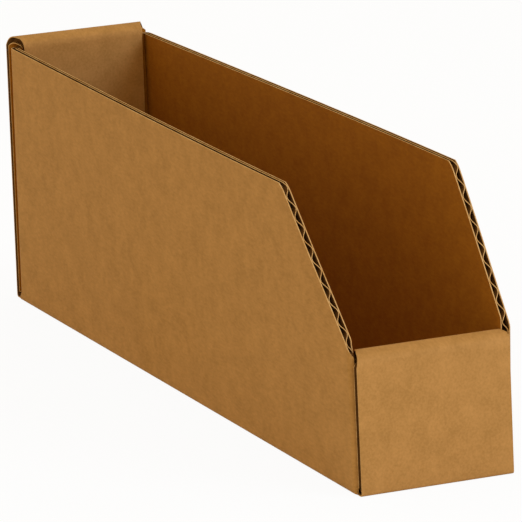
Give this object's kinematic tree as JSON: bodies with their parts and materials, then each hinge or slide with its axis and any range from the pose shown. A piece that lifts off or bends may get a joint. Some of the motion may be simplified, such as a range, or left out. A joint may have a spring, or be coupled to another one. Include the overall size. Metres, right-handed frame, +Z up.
{
  "type": "open-top bin box",
  "caption": "Long narrow open-top shelf bin folded from one sheet of corrugated board, with side walls that slope down to a low front and rolled-over double ends.",
  "frame": {"origin": "centre of the footprint, on the underside of the bottom panel", "axes": "+X towards the low open front, +Z up, +Y across the box"},
  "size_m": [0.328, 0.0688, 0.1056],
  "materials": {
    "kraft_board": "matte"
  },
  "bodies": {
    "root": {"bin_box": "kraft_board"}
  },
  "joints": []
}
